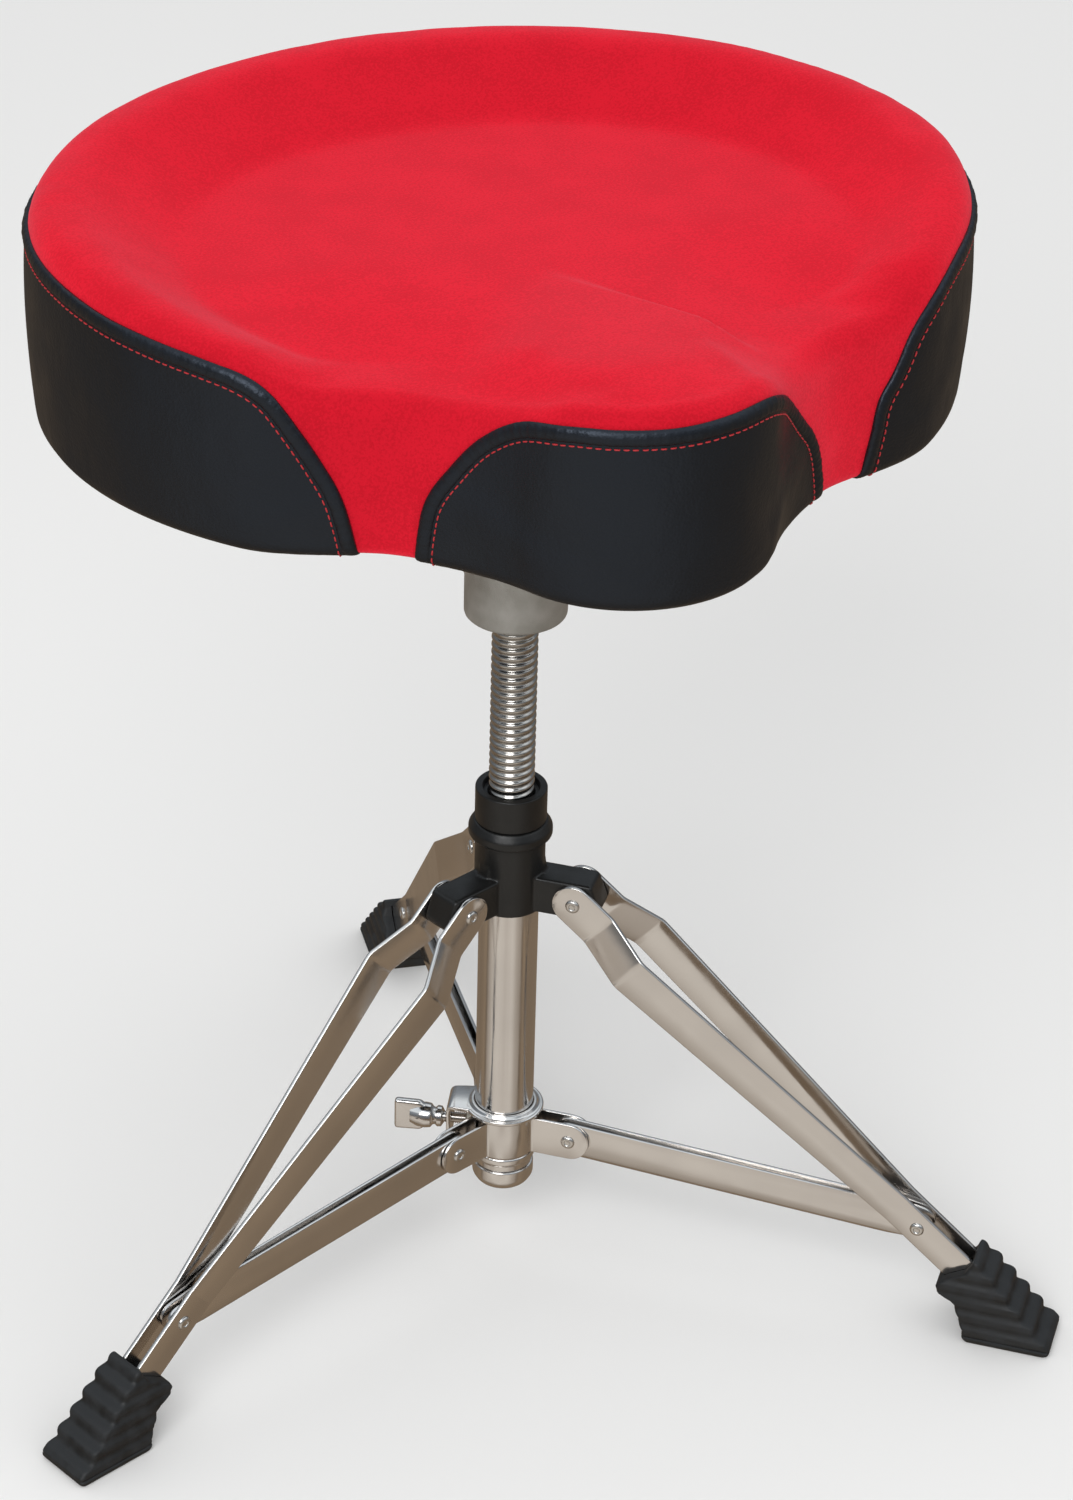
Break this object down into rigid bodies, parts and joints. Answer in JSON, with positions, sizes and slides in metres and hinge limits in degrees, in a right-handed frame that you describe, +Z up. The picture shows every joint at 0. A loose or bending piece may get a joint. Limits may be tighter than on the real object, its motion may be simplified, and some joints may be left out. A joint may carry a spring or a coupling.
{
  "type": "drum throne",
  "caption": "Stool for a drummer: a padded saddle seat with a nose, on a threaded height rod held by a folding braced tripod with rubber feet.",
  "frame": {"origin": "middle of the footprint of the whole object, at floor level; the column stands 13 mm towards +X and 40 mm towards -Y of it", "axes": "+Z up, -Y the way the seat's nose points, +X to the right of someone who looks at the nose from the front"},
  "size_m": [0.5005, 0.4826, 0.564],
  "materials": {
    "chrome_steel": "bright chrome plate",
    "plated_steel": "zinc-nickel plated fasteners",
    "black_casting": "satin black powder coat",
    "grey_casting": "as-cast grey, lightly textured",
    "foot_rubber": "matt black ribbed rubber",
    "nylon": "natural nylon",
    "plywood": "sanded birch plywood",
    "red_velour": "short-pile velour",
    "black_vinyl": "fine-grained upholstery vinyl, satin",
    "dust_cloth": "black nonwoven cloth"
  },
  "bodies": {
    "stand": {"base_tube": "chrome_steel", "tube_end_cap": "chrome_steel", "leg_hub": "black_casting", "height_nut": "black_casting"},
    "leg_left": {"left_leg_strip_a": "chrome_steel", "left_leg_strip_b": "chrome_steel", "left_hub_rivet": "plated_steel", "left_brace_rivet_a": "plated_steel", "left_brace_rivet_b": "plated_steel", "left_foot": "foot_rubber"},
    "leg_right": {"right_leg_strip_a": "chrome_steel", "right_leg_strip_b": "chrome_steel", "right_hub_rivet": "plated_steel", "right_brace_rivet_a": "plated_steel", "right_brace_rivet_b": "plated_steel", "right_foot": "foot_rubber"},
    "leg_rear": {"rear_leg_strip_a": "chrome_steel", "rear_leg_strip_b": "chrome_steel", "rear_hub_rivet": "plated_steel", "rear_brace_rivet_a": "plated_steel", "rear_brace_rivet_b": "plated_steel", "rear_foot": "foot_rubber"},
    "collar": {"left_collar_strap": "chrome_steel", "right_collar_strap": "chrome_steel", "rear_collar_strap": "chrome_steel", "left_collar_rivet": "plated_steel", "right_collar_rivet": "plated_steel", "rear_collar_rivet": "plated_steel", "collar_plate": "chrome_steel"},
    "brace_left": {"left_brace": "chrome_steel"},
    "brace_right": {"right_brace": "chrome_steel"},
    "brace_rear": {"rear_brace": "chrome_steel"},
    "screw_pad": {"wing_screw_pad": "nylon"},
    "wing": {"wing_screw": "chrome_steel"},
    "guide": {"rod_guide": "nylon"},
    "seat": {"threaded_rod": "chrome_steel", "guide_screw": "plated_steel", "seat_mount": "grey_casting", "clamp_bolt": "plated_steel", "clamp_nut": "plated_steel", "mount_screw_1": "plated_steel", "mount_screw_2": "plated_steel", "mount_screw_3": "plated_steel", "mount_screw_4": "plated_steel", "seat_board": "plywood", "dust_cover": "dust_cloth", "seat_cushion": "red_velour", "rear_panel": "black_vinyl", "nose_panel": "black_vinyl"}
  },
  "joints": [
    {"name": "left_leg_fold", "type": "hinge", "parent": "stand", "child": "leg_left", "pos_m": [-0.01853, -0.05447, 0.2095], "axis": [0.4067, -0.9135, 0], "range_deg": [0, 45.11]},
    {"name": "right_leg_fold", "type": "hinge", "parent": "stand", "child": "leg_right", "pos_m": [0.04142, -0.06077, 0.2095], "axis": [0.5878, 0.809, 0], "range_deg": [0, 45.31]},
    {"name": "rear_leg_fold", "type": "hinge", "parent": "stand", "child": "leg_rear", "pos_m": [0.0169, -0.00571, 0.2095], "axis": [-0.9945, 0.1045, 0], "range_deg": [0, 45.31]},
    {"name": "collar_slide", "type": "slide", "parent": "stand", "child": "collar", "axis": [0, 0, 1], "range_m": [0, 0.0868]},
    {"name": "left_brace_fold", "type": "hinge", "parent": "collar", "child": "brace_left", "pos_m": [-0.01853, -0.05447, 0.0658], "axis": [0.4067, -0.9135, 0], "range_deg": [0, 81.89]},
    {"name": "right_brace_fold", "type": "hinge", "parent": "collar", "child": "brace_right", "pos_m": [0.04142, -0.06077, 0.0658], "axis": [0.5878, 0.809, 0], "range_deg": [0, 81.89]},
    {"name": "rear_brace_fold", "type": "hinge", "parent": "collar", "child": "brace_rear", "pos_m": [0.0169, -0.00571, 0.0658], "axis": [-0.9945, 0.1045, 0], "range_deg": [0, 81.89]},
    {"name": "wing_advance", "type": "slide", "parent": "collar", "child": "screw_pad", "axis": [-0.8988, 0.4384, 0], "range_m": [0, 0.004]},
    {"name": "wing_turn", "type": "hinge", "parent": "screw_pad", "child": "wing", "pos_m": [0.01326, -0.04031, 0.067], "axis": [-0.8988, 0.4384, 0], "range_deg": [0, 1444]},
    {"name": "seat_height", "type": "slide", "parent": "stand", "child": "guide", "axis": [0, 0, 1], "range_m": [-0.0901, 0.0601]},
    {"name": "seat_turn", "type": "hinge", "parent": "guide", "child": "seat", "pos_m": [0.01326, -0.04031, 0], "axis": [0, 0, 1], "range_deg": [-8100, 5400]}
  ],
  "couplings": [
    {"joint": "right_leg_fold", "follows": "left_leg_fold", "ratio": 1},
    {"joint": "rear_leg_fold", "follows": "left_leg_fold", "ratio": 1},
    {"joint": "collar_slide", "follows": "left_leg_fold", "m_per_rad": 0.10987},
    {"joint": "left_brace_fold", "follows": "left_leg_fold", "ratio": 1.8065},
    {"joint": "right_brace_fold", "follows": "left_leg_fold", "ratio": 1.8065},
    {"joint": "rear_brace_fold", "follows": "left_leg_fold", "ratio": 1.8065},
    {"joint": "wing_turn", "follows": "wing_advance", "rad_per_m": 6283.2},
    {"joint": "seat_height", "follows": "seat_turn", "m_per_rad": 0.00063662}
  ]
}
